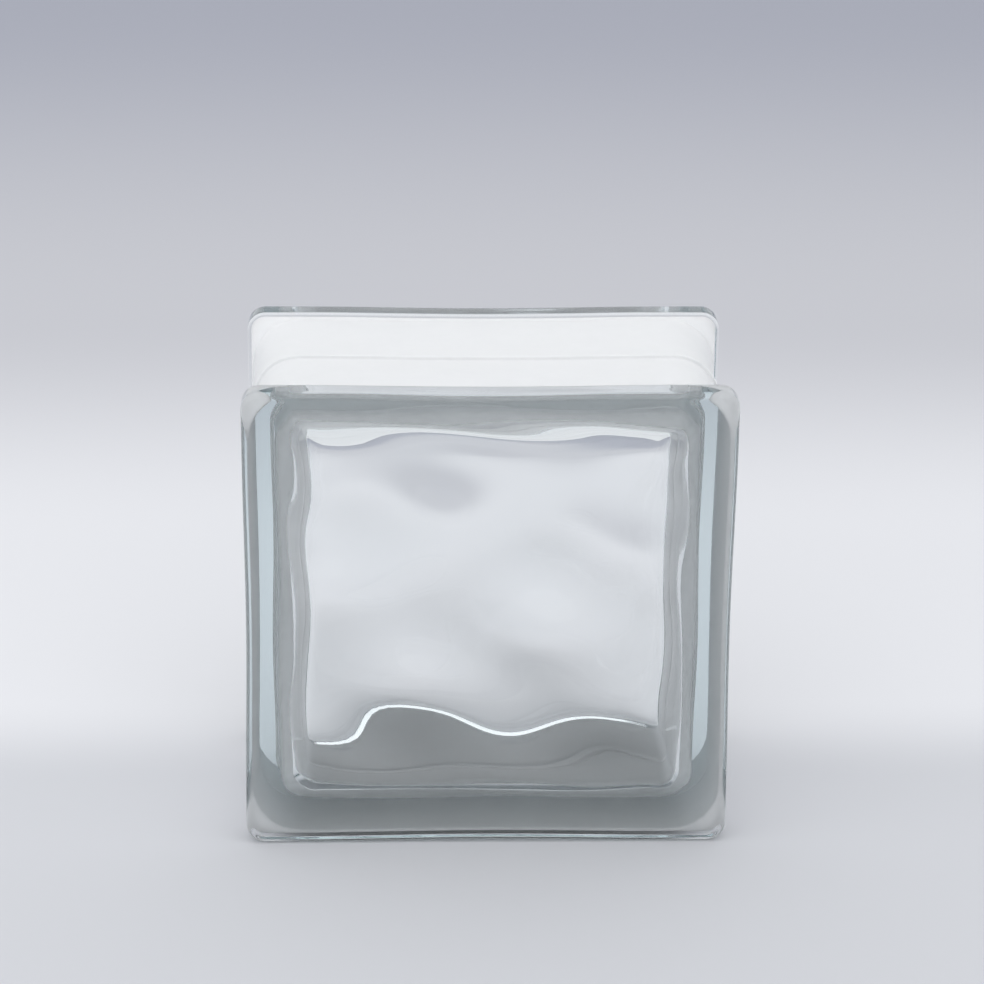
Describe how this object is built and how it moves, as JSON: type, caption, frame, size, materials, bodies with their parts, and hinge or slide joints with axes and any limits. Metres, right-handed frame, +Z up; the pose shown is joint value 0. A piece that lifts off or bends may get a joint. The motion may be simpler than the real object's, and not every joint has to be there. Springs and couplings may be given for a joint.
{
  "type": "glass block",
  "caption": "Hollow square glass block for walls: two clear pressed half shells with wavy inner faces, fused at mid depth, with a white coating in the mortar channel round the edge.",
  "frame": {"origin": "middle of the underside, on the plane that both rims stand on", "axes": "+X along the width, +Y through the depth from the front face to the back face, +Z up along the height"},
  "size_m": [0.145, 0.08, 0.145],
  "materials": {
    "clear_glass": "gloss",
    "white_coating": "matte"
  },
  "bodies": {
    "root": {"front_half": "clear_glass", "back_half": "clear_glass", "edge_coating": "white_coating"}
  },
  "joints": []
}
